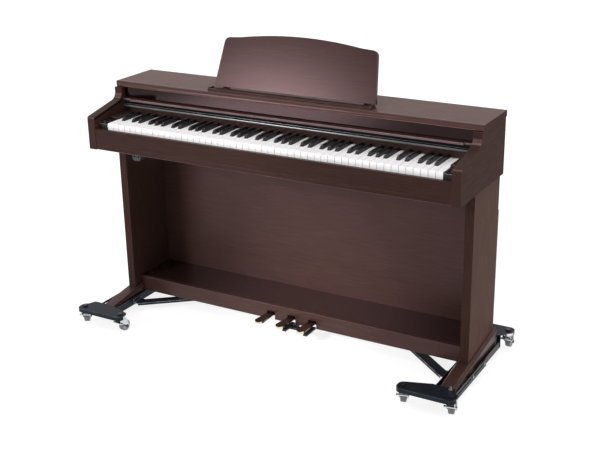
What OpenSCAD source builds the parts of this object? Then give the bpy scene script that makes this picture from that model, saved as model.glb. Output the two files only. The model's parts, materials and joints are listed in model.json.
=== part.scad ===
// Digital piano with a sliding key cover, standing on a low steel piano trolley.
// X runs to the player's right, Y to the back and Z up. The origin is on the floor,
// in the middle of the object's box.

/* [Keyboard] */
// Pitch of the white keys
white_pitch = 23.5; // [23.3:0.1:23.6]
// Gap between neighbouring keys
key_gap = 1; // [0.8:0.1:1.4]
// Length of a white key in front of the rail
white_len = 142; // [140:1:146]
// Height of the front face of a white key
key_lip_h = 24; // [22:1:26]
// Height of the white key tops above the floor
key_z = 725; // [720:1:735]
// Width of a black key
black_w = 10.6; // [10:0.1:11]
// Length of a black key in front of the rail
black_len = 91; // [88:1:93]
// Height of a black key above the white keys
black_rise = 11.5; // [10.5:0.5:12]
// How far a pressed key turns
key_dip = 2.4; // [2:0.1:2.6]

/* [Cabinet] */
// Width of the blocks beside the last keys
end_block_w = 35.5; // [34:0.5:44]
// Thickness of a side panel
side_t = 29; // [26:1:30]
// Depth from the key fronts to the back of the cabinet
cab_back = 335.5; // [332:0.5:342]
// How far the arms stand in front of the keys
arm_front = 25; // [23:1:28]
// Height of the arms at their front, above the white keys
arm_h = 21.5; // [20:0.5:24]
// Slope of the arms and of the key cover
cover_slope = 11.7; // [11:0.1:12]
// Radius of the hollow where an arm meets the top
arm_hollow_r = 28; // [24:1:32]
// Front of the side panels under the top board
neck_y = 132; // [130:1:134]
// Underside of the top board above the white keys
lid_z = 92; // [91:0.5:94]
// Thickness of the top board
lid_t = 20; // [18:0.5:22]
// Front edge of the top board behind the key fronts
lid_front = 143; // [141:0.5:145]
// How far the top board stands out at the back
lid_over = 8; // [6:1:12]
// Depth of the rounded strip along the front of the top board
moulding_d = 12; // [10:1:15]
// Bottom of the cabinet below the white keys
bed_drop = 91; // [90:1:94]
// Thickness of the bottom board
bed_t = 16; // [15:1:18]
// Top of the key slip below the white keys
slip_drop = 19; // [18:0.5:21]
// Thickness of the key slip
slip_t = 16; // [14:1:17]
// Thickness of the cabinet's back board
back_t = 8; // [6:1:10]
// Thickness of the board under the front of the top board
fascia_t = 12; // [10:1:15]
// Bottom of that board above the white keys
fascia_z = 58; // [58:0.5:60]
// Thickness of the sliding key cover
cover_t = 6; // [5:0.5:6]
// Depth of the sliding key cover
cover_d = 172; // [165:1:175]
// Travel of the sliding key cover
cover_travel = 160; // [150:1:162]

/* [Music rest] */
// Half the width of the music rest at its foot
rest_half_w = 300; // [290:1:310]
// Height of the music rest in its middle
rest_h = 182; // [176:1:190]
// Rise of the arched top edge
rest_arch = 20; // [16:1:24]
// Thickness of the music rest
rest_t = 12; // [10:1:14]
// Lean of the raised music rest from upright
rest_lean = 18.5; // [17:0.5:20]
// Depth of the grooved ledge in front of the music rest
ledge_d = 35; // [33:1:36]

/* [Stand] */
// Thickness of a leg panel
leg_t = 29.5; // [27:0.5:30]
// Distance of the outer face of a leg from the side of the cabinet
leg_inset = 9; // [8:0.5:10]
// Front edge of a leg behind the key fronts
leg_front = 116.5; // [112:0.5:122]
// Depth of a leg
leg_d = 215.5; // [210:0.5:216]
// Width of a foot
foot_w = 54; // [50:1:56]
// Front end of a foot behind the key fronts
foot_front = -46; // [-50:1:-42]
// How far a foot reaches behind the leg
foot_tail = 13; // [8:1:18]
// Height of a foot at its front end
foot_tip_h = 20; // [18:1:24]
// Rise of the top of a foot towards the back, per millimetre
foot_rise = 0.13; // [0.12:0.005:0.14]
// Thickness of the board that joins the legs at the back
stand_back_t = 6; // [5:0.5:8]
// Top of that board below the white keys
stand_back_drop = 212; // [205:1:220]
// Front of the pedal board behind the key fronts
board_front = 152; // [150:1:155]
// Height of the pedal board
board_h = 55; // [53:1:58]
// Top of the pedal board above the floor
board_top = 101.5; // [100:0.5:104]
// Thickness of the pedal boards
board_t = 15; // [13:1:15]

/* [Pedals] */
// Distance between two pedals
pedal_pitch = 82; // [78:1:84]
// Middle pedal, sideways from the middle of the piano
pedal_x = 6; // [0:1:8]
// Width of a pedal near its tip
pedal_w = 33; // [30:1:34]
// Width of a pedal where it leaves the board
pedal_neck_w = 23; // [21:1:26]
// Length of a pedal in front of the board
pedal_out = 92; // [86:1:96]
// How far a pressed pedal turns
pedal_dip = 4.5; // [4:0.1:4.5]

/* [Trolley] */
// Thickness of the trolley's steel sheet
sheet = 2.5; // [2.5:0.1:2.8]
// Width of a tray
tray_w = 77; // [76:1:80]
// Underside of the trays above the floor
tray_z = 20; // [18:0.5:21]
// Height of the tray walls
tray_wall_h = 26; // [24:1:28]
// Top of the wing plates above the floor
wing_z = 66; // [65:0.5:68]
// Width of a wing plate
wing_w = 194; // [190:1:196]
// Distance between the two castors of one wing
castor_gap = 156; // [150:1:158]
// Diameter of a castor wheel
wheel_d = 40; // [38:1:42]
// Width of a castor wheel
wheel_w = 18; // [16:1:18]
// Distance of the wheel's axle behind the swivel axis
castor_trail = 18; // [16:1:20]

/* [Hidden] */
$fn = 48;

WOOD = "#3b201d";
WOOD_LIGHT = "#5a3a38";
BLACK = "#15161a";
STEEL = "#2b2f35";
CHROME = "#c9ccd0";
BRASS = "#b9913f";
IVORY = "#f4f3ee";

run = 0.3;          // gap beside pieces that move past each other
bore_gap = 0.05;    // radial clearance of a pin in its bore

// Keyboard
white_count = 52;
key_w = white_pitch - key_gap;
keys_half = white_count * white_pitch / 2;
slot_w = black_w + 2.6;                         // room that a black key takes between the white tails
rail_gap = 1.5;                                 // gap between the raised part of a black key and the rail
tail_cde = (3 * white_pitch - 2 * slot_w) / 3;  // white tails between C and E
tail_fgab = (4 * white_pitch - 3 * slot_w) / 4; // white tails between F and B
key_body_h = 18;
key_lip_d = 14;
key_pivot_y = 232;
key_pivot_z = -14;
key_pivot_r = 3;
key_tail_y = 245;
// Gap before a black key, which leans forward as it is pressed
black_front_gap = 2 * run + (black_rise - key_pivot_z) * sin(key_dip);
middle_c = 23;                                  // white keys to the left of middle C

// Cabinet
block_in = 1.5;                                 // side gap between the last keys and their end blocks
inner_half = keys_half + block_in + end_block_w;
half_w = inner_half + side_t;
cab_w = 2 * half_w;
arm_nose_r = 8;
arm_rise = tan(cover_slope);
bed_top = -bed_drop + bed_t;
lid_top = lid_z + lid_t;
fascia_front = lid_front + 7;
rail_front = white_len;
rail_t = 14;
rail_z = 4;
strip_z = 24;
strip_h = 19;
strip_front = 138;
groove_d = 8;
cover_front = 138;
cover_z = strip_z + strip_h + 2;
cover_half = inner_half + groove_d - 1;
button_r = 6;
block_top = -3;
cheek_front = 50;
cheek_top = 9;
control_x = (keys_half + block_in + inner_half) / 2;
button_y = 26;
slider_y = 12;
slider_run = 22;

// Music rest, turning about a pin behind its foot
hinge_y = lid_front + ledge_d + 36;
hinge_z = lid_top + 7;
hinge_x = 263;
hinge_pin_r = 2.5;
hinge_lug = 10;
rest_back_gap = 5;
prop_s = 75;
prop_r = 1.5;
prop_half_w = 45;
prop_angle = 20;                                // the prop from upright, its foot towards the back
prop_len = (hinge_z - lid_top + prop_s * cos(rest_lean) - prop_r - run) / cos(prop_angle);

// Frame: the trolley reaches from its front wings to the back of its rear wheels
foot_shift = 4.5;                               // middle of the trolley behind the middle of a foot
leg_back = leg_front + leg_d;
foot_len = leg_back + foot_tail - foot_front;
riser_y = foot_len / 2 + foot_shift + 6;
wing_reach = 73;
wing_d = 50;
wing_edge = riser_y + wing_reach;
castor_y = wing_edge - 27;
wheel_r = wheel_d / 2;
trolley_y = (wing_edge - castor_y - castor_trail - wheel_r) / 2;
key_y = trolley_y - foot_front - foot_len / 2 - foot_shift;

// Stand
leg_x = half_w - leg_inset - leg_t;
leg_mid_x = leg_x + leg_t / 2;
foot_z = tray_z + 2 * sheet + 0.5;
board_back = leg_back;

// Fasteners of the stand
screw_r = 2;
screw_len = 26;
cam_r = 4.5;
cam_h = 10;
cam_inset = 18;

// Pedals
pedal_pivot_y = 285;
pedal_pivot_z = 64;
pedal_pivot_r = 4;
pedal_tip_rise = 3;
pedal_t = 8;
pedal_low = 6;                                  // height of a pressed pedal above the board's lower edge
pedal_drop = (pedal_pivot_y - board_front) * tan(pedal_dip);
pedal_root_z = board_top - board_h + pedal_low + pedal_t + pedal_drop;
pedal_slot_w = pedal_neck_w + 8;
pedal_slot_h = pedal_root_z + 5 - (board_top - board_h);
lever_w = 18;

// Trolley
tray_mid_x = leg_mid_x;
tray_out_x = tray_mid_x + tray_w / 2;
tray_in_x = tray_mid_x - tray_w / 2;
tray_overlap = 70;
front_wall_end = 65;
slot_gap_y = [150 - riser_y, front_wall_end - 20]; // clamp bolts beside the slots in a tray's outer wall
wing_mid_x = tray_mid_x - 33;
wing_corner_r = 20;
lip_h = 14;
stem_r = 5;
axle_r = 4;
axle_z = wheel_r;
fork_half = wheel_w / 2 + 3;
cheek_t = 2.5;
brace_angle = 39;
brace_w = 46;
brace_z = tray_z + 10;
link_y = 95;
brace_y = 90;                                   // front end of a brace's middle, behind the key fronts

// Name, side, outer or inner, front or rear, and how far the castor has swivelled
CASTORS = [
    ["front_left_outer", -1, 1, -1, 30], ["front_left_inner", -1, -1, -1, -4],
    ["front_right_inner", 1, -1, -1, 17], ["front_right_outer", 1, 1, -1, 12],
    ["rear_left_outer", -1, 1, 1, 0], ["rear_left_inner", -1, -1, 1, -25],
    ["rear_right_inner", 1, -1, 1, 14], ["rear_right_outer", 1, 1, 1, 0]
];

// ---- Helpers ----

// Points of an arc about a centre, with both of its ends
function arc(x, y, r, from, to, steps = 8) =
    [for (i = [0:steps]) let (a = from + (to - from) * i / steps) [x + r * cos(a), y + r * sin(a)]];

// Moves a piece from the key datum (key fronts, key tops) to its place above the floor
module at_keys() {
    translate([0, key_y, key_z]) children();
}

// Moves a piece that is measured from the floor but lies behind the key fronts
module behind_keys() {
    translate([0, key_y, 0]) children();
}

// A slab of a drawn side view, from x to x + t
module slab(x, t) {
    translate([x, 0, 0]) rotate([90, 0, 90]) linear_extrude(t) children();
}

// A box between two corners
module block(low, high) {
    translate(low) cube(high - low);
}

// The same piece on both sides
module both_sides() {
    children();
    mirror([1, 0, 0]) children();
}

// ---- Cabinet ----

// Side view of a panel: the arm with its rounded nose, the hollow, and the upright back part
module side_profile() {
    nose_y = -arm_front + arm_nose_r;
    nose_z = arm_h + arm_nose_r * arm_rise - arm_nose_r / cos(cover_slope);
    hollow_y = neck_y - arm_hollow_r;
    hollow_z = arm_h + (hollow_y + arm_front) * arm_rise + arm_hollow_r / cos(cover_slope);
    polygon(concat(
        [[-arm_front, -bed_drop]],
        arc(nose_y, nose_z, arm_nose_r, 180, 90 + cover_slope),
        arc(hollow_y, hollow_z, arm_hollow_r, cover_slope - 90, 0),
        [[neck_y, lid_z], [cab_back, lid_z], [cab_back, -bed_drop]]
    ));
}

// Side view of the groove that carries one edge of the key cover
module groove_profile() {
    translate([cover_front, cover_z])
        rotate(cover_slope)
            translate([-cover_travel - 4, -run])
                square([cover_travel + cover_d + 8, cover_t + 2 * run]);
}

module side_panel_right() {
    color(WOOD) at_keys() difference() {
        slab(inner_half, side_t) side_profile();
        slab(inner_half - 1, groove_d + 1) groove_profile();
    }
}

module side_panel_left() {
    mirror([1, 0, 0]) side_panel_right();
}

module top_board() {
    color(WOOD) at_keys()
        block([-half_w, lid_front + moulding_d, lid_z], [half_w, cab_back + lid_over, lid_top]);
}

// Rounded strip along the front of the top board, with a fine groove at the joint
module top_moulding() {
    round_r = 5;
    groove = 1;
    back = lid_front + moulding_d;
    color(WOOD_LIGHT) at_keys() slab(-half_w, cab_w)
        polygon(concat(
            arc(lid_front + round_r, lid_z + round_r, round_r, 270, 180, 5),
            arc(lid_front + round_r, lid_top - round_r, round_r, 180, 90, 5),
            [[back - groove, lid_top], [back - groove, lid_top - groove], [back, lid_top - groove],
             [back, lid_z]]
        ));
}

module fascia_board() {
    color(WOOD) at_keys()
        block([-inner_half, fascia_front, fascia_z], [inner_half, fascia_front + fascia_t, lid_z]);
}

// Black strip above the keys, with a rounded ledge along its foot
module panel_strip() {
    back = rail_front + rail_t - 2;
    ledge_r = 8;
    ledge_z = strip_z + 1.5;
    color(BLACK) at_keys() slab(-inner_half, 2 * inner_half)
        polygon(concat(
            [[back, strip_z], [strip_front, strip_z]],
            arc(strip_front + ledge_r, ledge_z, ledge_r, 180, 95, 6),
            [[strip_front + ledge_r, strip_z + strip_h], [back, strip_z + strip_h]]
        ));
}

module key_rail() {
    color(WOOD_LIGHT) at_keys()
        block([-inner_half, rail_front, rail_z], [inner_half, rail_front + rail_t, strip_z]);
}

// Front board below the keys, with a rounded upper edge
module key_slip() {
    edge_r = 3;
    front = 1 - arm_front;
    color(WOOD) at_keys() slab(-inner_half, 2 * inner_half)
        polygon(concat(
            [[front, bed_top]],
            arc(front + edge_r, -slip_drop - edge_r, edge_r, 180, 90, 4),
            [[front + slip_t, -slip_drop], [front + slip_t, bed_top]]
        ));
}

speaker_inset = 218;
speaker_x = inner_half - speaker_inset;
speaker_y = 130;
speaker_r = 55;

// Bottom board with a rounded lower front edge, open below the speakers
module key_bed() {
    edge_r = 5;
    front = 1 - arm_front;
    color(WOOD) at_keys() difference() {
        slab(-inner_half, 2 * inner_half) polygon(concat(
            [[front, bed_top]],
            arc(front + edge_r, edge_r - bed_drop, edge_r, 180, 270, 4),
            [[cab_back - back_t, -bed_drop], [cab_back - back_t, bed_top]]
        ));
        for (side = [-1, 1])
            translate([side * speaker_x, speaker_y, -bed_drop - 1])
                cylinder(r = speaker_r, h = bed_t + 2);
    }
}

inlet_inset = 128;
inlet_x = inner_half - inlet_inset;
inlet_z = -52;
inlet_w = 32;
inlet_h = 26;

module cabinet_back() {
    color(WOOD) at_keys() difference() {
        block([-inner_half, cab_back - back_t, -bed_drop], [inner_half, cab_back, lid_z]);
        block([inlet_x - inlet_w / 2, cab_back - back_t - 1, inlet_z - inlet_h / 2],
              [inlet_x + inlet_w / 2, cab_back + 1, inlet_z + inlet_h / 2]);
    }
}

// End blocks beside the keys, low and black in front and raised behind. The power switch is in the
// right one and the volume slider in the left one.
module key_blocks() {
    edge = 2;
    color(BLACK) at_keys() difference() {
        both_sides() slab(keys_half + block_in, inner_half - keys_half - block_in) polygon([
            [0, bed_top], [0, block_top - 1], [1, block_top], [cheek_front, block_top],
            [cheek_front, cheek_top - edge], [cheek_front + edge, cheek_top],
            [rail_front, cheek_top], [rail_front, bed_top]
        ]);
        translate([control_x, button_y, block_top - 13]) cylinder(r = button_r + run, h = 20);
        block([-control_x - 3, slider_y - 5, block_top - 12],
              [-control_x + 3, slider_y + slider_run + 5, block_top + 1]);
    }
}

module power_button() {
    color(CHROME) at_keys() translate([control_x, button_y, block_top - 9]) cylinder(r = button_r, h = 11);
}

module volume_slider() {
    color(STEEL) at_keys() translate([-control_x, slider_y, block_top]) {
        block([-2, -3, -11], [2, 3, run]);
        block([-6, -4, run], [6, 4, 7]);
    }
}

jack_r = 3.3;
jack_gap = 17;
box_w = 34;
box_x = -inner_half + 129;
box_front = 26;
box_d = 30;
box_h = 37;
box_r = 9;

// Box under the cabinet with rounded lower edges and two headphone sockets in its face
module headphone_box() {
    color(BLACK) at_keys() translate([box_x, box_front, -bed_drop - box_h]) difference() {
        translate([0, box_d, 0]) rotate([90, 0, 0]) linear_extrude(box_d) polygon(concat(
            arc(box_r - box_w / 2, box_r, box_r, 180, 270, 6),
            arc(box_w / 2 - box_r, box_r, box_r, 270, 360, 6),
            [[box_w / 2, box_h], [-box_w / 2, box_h]]
        ));
        for (side = [-1, 1])
            translate([side * jack_gap / 2, -1, box_h * 0.4])
                rotate([-90, 0, 0]) cylinder(r = jack_r, h = box_d * 0.8);
    }
}

// Mains inlet: a shell with a flange outside the back board and three blades inside
module power_inlet() {
    wall = 2;
    depth = 24;
    color(BLACK) at_keys() translate([inlet_x, cab_back, inlet_z]) {
        difference() {
            union() {
                block([-inlet_w / 2 + run, -depth, -inlet_h / 2 + run],
                      [inlet_w / 2 - run, 0, inlet_h / 2 - run]);
                block([-inlet_w / 2 - 6, 0, -inlet_h / 2 - 3], [inlet_w / 2 + 6, wall, inlet_h / 2 + 3]);
            }
            block([-inlet_w / 2 + wall + 1, wall - depth, -inlet_h / 2 + wall + 1],
                  [inlet_w / 2 - wall - 1, wall + 1, inlet_h / 2 - wall - 1]);
        }
        for (x = [-7, 0, 7])
            block([x - 1, -depth + 1, x == 0 ? 1 : -4], [x + 1, -wall, x == 0 ? 5 : 0]);
    }
}

board_y = 262;
board_d = 56;
main_board_w = 180;
power_board_w = 130;
board_gap = 125;    // from the inlet's middle to the edge of the power board

// One circuit board on four stand-offs, with a heat sink and a row of capacitors
module circuit_board(x, w) {
    stand = 8;
    board = 1.6;
    corner = 6;
    part_pitch = w / 12;
    translate([x, board_y, bed_top]) {
        for (side = [-1, 1])
            for (end = [-1, 1])
                translate([side * (w / 2 - corner), end * (board_d / 2 - corner), 0])
                    cylinder(r = corner / 2, h = stand);
        block([-w / 2, -board_d / 2, stand], [w / 2, board_d / 2, stand + board]);
        block([-w / 4, -board_d / 5, stand + board], [0, board_d / 4, 3 * stand]);
        for (i = [1:4])
            translate([i * part_pitch, board_d / 7, stand + board])
                cylinder(r = part_pitch / 3, h = 2 * stand);
    }
}

// Main board on the bass side and power board on the treble side
module circuit_boards() {
    color("#1f5130") at_keys() {
        circuit_board(-speaker_x + main_board_w, main_board_w);
        circuit_board(inlet_x - board_gap - power_board_w / 2, power_board_w);
    }
}

// Two speakers that face the floor: a flange on the bottom board, a cone and a magnet
module speakers() {
    flange = 3;
    cap_r = 20;
    cone_z = 10 - bed_t;
    magnet_r = 30;
    magnet_low = 22;
    magnet_top = 34;
    color(BLACK) at_keys() for (side = [-1, 1])
        translate([side * speaker_x, speaker_y, bed_top]) rotate_extrude()
            polygon([
                [0, cone_z], [cap_r, cone_z - 3], [speaker_r - 6, -3], [speaker_r - 2, -3],
                [speaker_r - 2, 0], [speaker_r + 8, 0], [speaker_r + 8, flange], [speaker_r - 4, flange],
                [magnet_r, magnet_low], [magnet_r, magnet_top], [0, magnet_top]
            ]);
}

// ---- Key cover and music rest ----

// Flat cover that slides down and forward in the grooves of the side panels
module key_cover() {
    grip_half = keys_half + 6;
    color(WOOD_LIGHT) at_keys() translate([0, cover_front, cover_z]) rotate([cover_slope, 0, 0]) {
        block([-cover_half, 6, 0], [cover_half, cover_d, cover_t]);
        block([-grip_half, 0, 0], [grip_half, 6, cover_t + 1]);
    }
}

// Ledge on the top board that the music stands on, with grooves, a low front lip and a rounded
// cap at each end
module rest_ledge() {
    half = rest_half_w + 3;
    floor_h = 5;
    lip = 3;
    lip_d = 5;
    groove_w = 3;
    groove_pitch = 7.5;
    cap_w = 8;
    cap_h = floor_h + lip + 3;
    cap_r = 7;
    front = lid_front + 15;
    color(WOOD_LIGHT) at_keys() {
        slab(-half, 2 * half) difference() {
            translate([front, lid_top]) square([ledge_d, floor_h + lip]);
            translate([front + lip_d, lid_top + floor_h]) square([ledge_d, lip + 1]);
            for (i = [1:4])
                translate([front + lip_d + i * groove_pitch - groove_w, lid_top + floor_h - 1.5])
                    square([groove_w, groove_w]);
        }
        both_sides() slab(half - cap_w, cap_w) polygon(concat(
            [[front, lid_top]],
            arc(front + cap_r, lid_top + cap_h - cap_r, cap_r, 180, 90, 5),
            [[front + ledge_d - 6, lid_top + cap_h], [front + ledge_d - 6, lid_top]]
        ));
    }
}

// Two black hinges on the top board: a base plate with two lugs, and the pin of the music rest
module rest_hinges() {
    wall = 6;
    r = rest_back_gap - 0.8;
    plate_t = 2;
    plate_front = 18;
    plate_half_w = hinge_lug / 2 + run + wall;
    color(BLACK) at_keys() both_sides() translate([hinge_x, hinge_y, lid_top]) {
        block([-plate_half_w, -plate_front, 0], [plate_half_w, 2 * r, plate_t]);
        for (side = [-1, 1])
            translate([side * (hinge_lug / 2 + run + wall / 2) - wall / 2, 0, 0])
                slab(0, wall) polygon(concat(
                    [[r, 0]], arc(0, hinge_z - lid_top, r, 0, 180), [[-r, 0]]
                ));
        translate([-hinge_lug / 2 - run - wall, 0, hinge_z - lid_top])
            rotate([0, 90, 0]) cylinder(r = hinge_pin_r, h = hinge_lug + 2 * (run + wall));
    }
}

// Front view of the music rest: straight leaning sides, round corners, and an arch between two
// flatter shoulders
module rest_outline() {
    corner_r = 19;
    side_lean = 0.115;
    side_angle = atan(side_lean);
    shoulder_w = 42;
    shoulder_angle = 4;
    corner_y = rest_h - rest_arch - corner_r;
    corner_x = rest_half_w - side_lean * corner_y - corner_r;
    arch_x = corner_x - shoulder_w;
    arch_rise = rest_arch - shoulder_w * tan(shoulder_angle);
    arch_r = (arch_x * arch_x + arch_rise * arch_rise) / (2 * arch_rise);
    arch_end = asin(arch_x / arch_r);
    polygon(concat(
        [[rest_half_w, -4]],
        arc(corner_x, corner_y, corner_r, side_angle, 90 - shoulder_angle, 6),
        arc(0, rest_h - arch_r, arch_r, 90 - arch_end, 90 + arch_end, 14),
        arc(-corner_x, corner_y, corner_r, 90 + shoulder_angle, 180 - side_angle, 6),
        [[-rest_half_w, -4]]
    ));
}

// Places a piece on the leaning music rest: X across, Y out of its back, Z up along it
module on_rest() {
    at_keys() translate([0, hinge_y, hinge_z]) rotate([-rest_lean, 0, 0]) children();
}

module music_rest() {
    clip = 8;
    color(WOOD) on_rest() difference() {
        union() {
            translate([0, -rest_back_gap, 0]) rotate([90, 0, 0]) linear_extrude(rest_t) rest_outline();
            for (side = [-1, 1])
                translate([side * hinge_x - hinge_lug / 2, 0, 0])
                    slab(0, hinge_lug) polygon(concat(
                        [[-rest_back_gap - 1, -4]], arc(0, 0, 4.5, -90, 90), [[-rest_back_gap - 1, 4.5]]
                    ));
            for (side = [-1, 1])
                block([side * (prop_half_w - 12) - clip / 2, -rest_back_gap - 1, prop_s - 4],
                      [side * (prop_half_w - 12) + clip / 2, 3.5, prop_s + 4]);
        }
        translate([-rest_half_w, 0, 0]) rotate([0, 90, 0])
            cylinder(r = hinge_pin_r + bore_gap, h = 2 * rest_half_w);
        translate([-rest_half_w, 0, prop_s]) rotate([0, 90, 0])
            cylinder(r = prop_r + bore_gap, h = 2 * rest_half_w);
    }
}

// Bent wire that turns in two clips behind the music rest and stands on the top board
module rest_prop() {
    color(CHROME) on_rest() translate([0, 0, prop_s]) rotate([rest_lean + prop_angle, 0, 0]) {
        translate([-prop_half_w, 0, 0]) rotate([0, 90, 0]) cylinder(r = prop_r, h = 2 * prop_half_w);
        for (side = [-1, 1]) {
            translate([side * prop_half_w, 0, 0]) sphere(r = prop_r);
            translate([side * prop_half_w, 0, -prop_len]) cylinder(r = prop_r, h = prop_len);
            translate([side * prop_half_w, 0, -prop_len]) sphere(r = prop_r);
        }
        translate([-prop_half_w, 0, -prop_len]) rotate([0, 90, 0]) cylinder(r = prop_r, h = 2 * prop_half_w);
    }
}

// ---- Keys ----

// Letter of a white key: 0 is C, 6 is B; the first key is an A
function letter(w) = (w + 5) % 7;
function white_x(w) = -keys_half + w * white_pitch;
function tail_w(l) = l < 3 ? tail_cde : tail_fgab;
function place_in_group(l) = l < 3 ? l : l - 3;
function tail_start(l) = place_in_group(l) * (tail_w(l) + slot_w - white_pitch);
function has_sharp(w) = w < white_count - 1 && letter(w) != 2 && letter(w) != 6;
function sharp_x(w) = white_x(w) + tail_start(letter(w)) + tail_w(letter(w)) + slot_w / 2;

// Saddle under the tail of a key, which sits on the pivot rod
module key_saddle(x, w) {
    r = key_pivot_r + bore_gap;
    translate([x - 1, key_pivot_y, key_pivot_z]) rotate([0, 90, 0]) cylinder(r = r, h = w + 2);
    block([x - 1, key_pivot_y - r, -key_body_h - 1], [x + w + 1, key_pivot_y + r, key_pivot_z]);
}

// White key: a broad head, and a tail that passes between the black keys
module white_key(w) {
    l = letter(w);
    g = key_gap / 2;
    head = rail_front - rail_gap - black_len - black_front_gap;
    from = w == 0 ? g : tail_start(l) + g;
    to = w == white_count - 1 ? white_pitch - g : tail_start(l) + tail_w(l) - g;
    translate([white_x(w), 0, 0]) difference() {
        union() {
            block([g, 0, -key_body_h], [g + key_w, head, 0]);
            block([g, 0, -key_lip_h], [g + key_w, key_lip_d, 0]);
            block([from, head - 1, -key_body_h], [to, key_tail_y, 0]);
        }
        key_saddle(0, white_pitch);
    }
}

// Black key: raised part with sloping sides and front, on a low body that runs back
module black_key(w) {
    side_slope = 1;
    back = rail_front - rail_gap;
    front = back - black_len;
    translate([sharp_x(w), 0, 0]) difference() {
        union() {
            intersection() {
                slab(-black_w / 2, black_w) polygon([
                    [front, -key_body_h], [front, 2], [front + 6, black_rise - 2], [front + 10, black_rise],
                    [back, black_rise], [back, -key_body_h]
                ]);
                translate([0, key_tail_y, 0]) rotate([90, 0, 0]) linear_extrude(key_tail_y) polygon([
                    [-black_w / 2, -key_body_h], [-black_w / 2, 0], [-black_w / 2 + side_slope, black_rise],
                    [black_w / 2 - side_slope, black_rise], [black_w / 2, 0], [black_w / 2, -key_body_h]
                ]);
            }
            block([-black_w / 2, back - 1, -key_body_h], [black_w / 2, key_tail_y, 0]);
        }
        key_saddle(-black_w / 2, black_w);
    }
}

module white_keys() {
    color(IVORY) at_keys() for (w = [0:white_count - 1])
        if (w != middle_c && w != middle_c + 1) white_key(w);
}

module black_keys() {
    color(BLACK) at_keys() for (w = [0:white_count - 1])
        if (has_sharp(w) && w != middle_c && w != middle_c + 1) black_key(w);
}

// Steel chassis under the keys: base plate, front rail with key stops, and the rail with the pivot rod
module key_frame() {
    plate = 2;
    half = keys_half - 1;
    color(STEEL) at_keys() {
        difference() {
            block([-half, 20, bed_top], [half, key_pivot_y, bed_top + plate]);
            for (side = [-1, 1])
                translate([side * speaker_x, speaker_y, bed_top - 1])
                    cylinder(r = speaker_r + 8 + run, h = plate + 2);
        }
        block([-half, 30, bed_top], [half, 36, -key_lip_h - 16]);
        block([-half, key_pivot_y - 1.5, bed_top], [half, key_pivot_y + 1.5, key_pivot_z]);
        translate([-half, key_pivot_y, key_pivot_z]) rotate([0, 90, 0])
            cylinder(r = key_pivot_r, h = 2 * half);
    }
}

// ---- Stand ----

function foot_top(y) = foot_z + foot_tip_h + (y - foot_front) * foot_rise;

// Places a piece at each screw that holds the back board to a leg, pointing out of the back
module at_back_screws() {
    low = foot_top(leg_back) + 40;
    high = key_z - stand_back_drop - 30;
    behind_keys() both_sides()
        for (z = [low, (low + high) / 2, high])
            translate([leg_mid_x, leg_back + stand_back_t, z]) rotate([-90, 0, 0]) children();
}

// Places a piece at each fitting that draws the pedal board to a leg, pointing up
module at_cams() {
    behind_keys() both_sides()
        for (y = [leg_front + 0.36 * leg_d, leg_back - 0.17 * leg_d])
            translate([leg_x - cam_inset, y, board_top]) children();
}

// Holes for the back board's screws, through the board and into the legs
module back_screw_holes() {
    at_back_screws() translate([0, 0, -screw_len - 1]) cylinder(r = screw_r + bore_gap, h = screw_len + 2);
}

module legs() {
    color(WOOD) difference() {
        behind_keys() both_sides() slab(leg_x, leg_t) polygon([
            [leg_front, foot_top(leg_front)], [leg_front, key_z - bed_drop],
            [leg_back, key_z - bed_drop], [leg_back, foot_top(leg_back)]
        ]);
        back_screw_holes();
    }
}

// A foot rises towards the back, and the long edges of its top are chamfered
module feet() {
    chamfer = 8;
    pitch = atan(foot_rise);
    back = foot_front + foot_len;
    color(WOOD) behind_keys() both_sides() difference() {
        slab(leg_mid_x - foot_w / 2, foot_w) polygon([
            [foot_front, foot_z], [foot_front, foot_top(foot_front)],
            [back, foot_top(back)], [back, foot_z]
        ]);
        for (side = [-1, 1])
            translate([leg_mid_x + side * foot_w / 2, foot_front, foot_top(foot_front)])
                rotate([pitch, 0, 0]) rotate([0, 45, 0])
                    block([-chamfer / sqrt(2), -20, -chamfer / sqrt(2)],
                          [chamfer / sqrt(2), foot_len + 40, chamfer / sqrt(2)]);
    }
}

// Thin board across the back faces of the legs
module back_board() {
    x = leg_x + leg_t;
    color(WOOD) difference() {
        behind_keys()
            block([-x, leg_back, foot_top(leg_back + stand_back_t) + 2],
                  [x, leg_back + stand_back_t, key_z - stand_back_drop]);
        back_screw_holes();
    }
}

// Room for the inner halves of the feet under the pedal boards
module foot_notches() {
    from = foot_front - 1;
    to = foot_front + foot_len + 1;
    behind_keys() both_sides() slab(leg_mid_x - foot_w / 2 - run, foot_w / 2) polygon([
        [from, 0], [from, foot_top(from) + run], [to, foot_top(to) + run], [to, 0]
    ]);
}

// Board across the legs with three notches for the pedals
module pedal_front_board() {
    color(WOOD) difference() {
        behind_keys() block([-leg_x, board_front, board_top - board_h],
                            [leg_x, board_front + board_t, board_top]);
        behind_keys() for (i = [-1:1])
            translate([pedal_x + i * pedal_pitch, 0, 0])
                block([-pedal_slot_w / 2, board_front - 1, board_top - board_h - 1],
                      [pedal_slot_w / 2, board_front + board_t + 1, board_top - board_h + pedal_slot_h]);
        foot_notches();
    }
}

module pedal_top_board() {
    color(WOOD) difference() {
        behind_keys() block([-leg_x, board_front + board_t, board_top - board_t],
                            [leg_x, board_back, board_top]);
        at_cams() translate([0, 0, -cam_h]) cylinder(r = cam_r + bore_gap, h = 2 * cam_h);
        foot_notches();
    }
}

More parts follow.
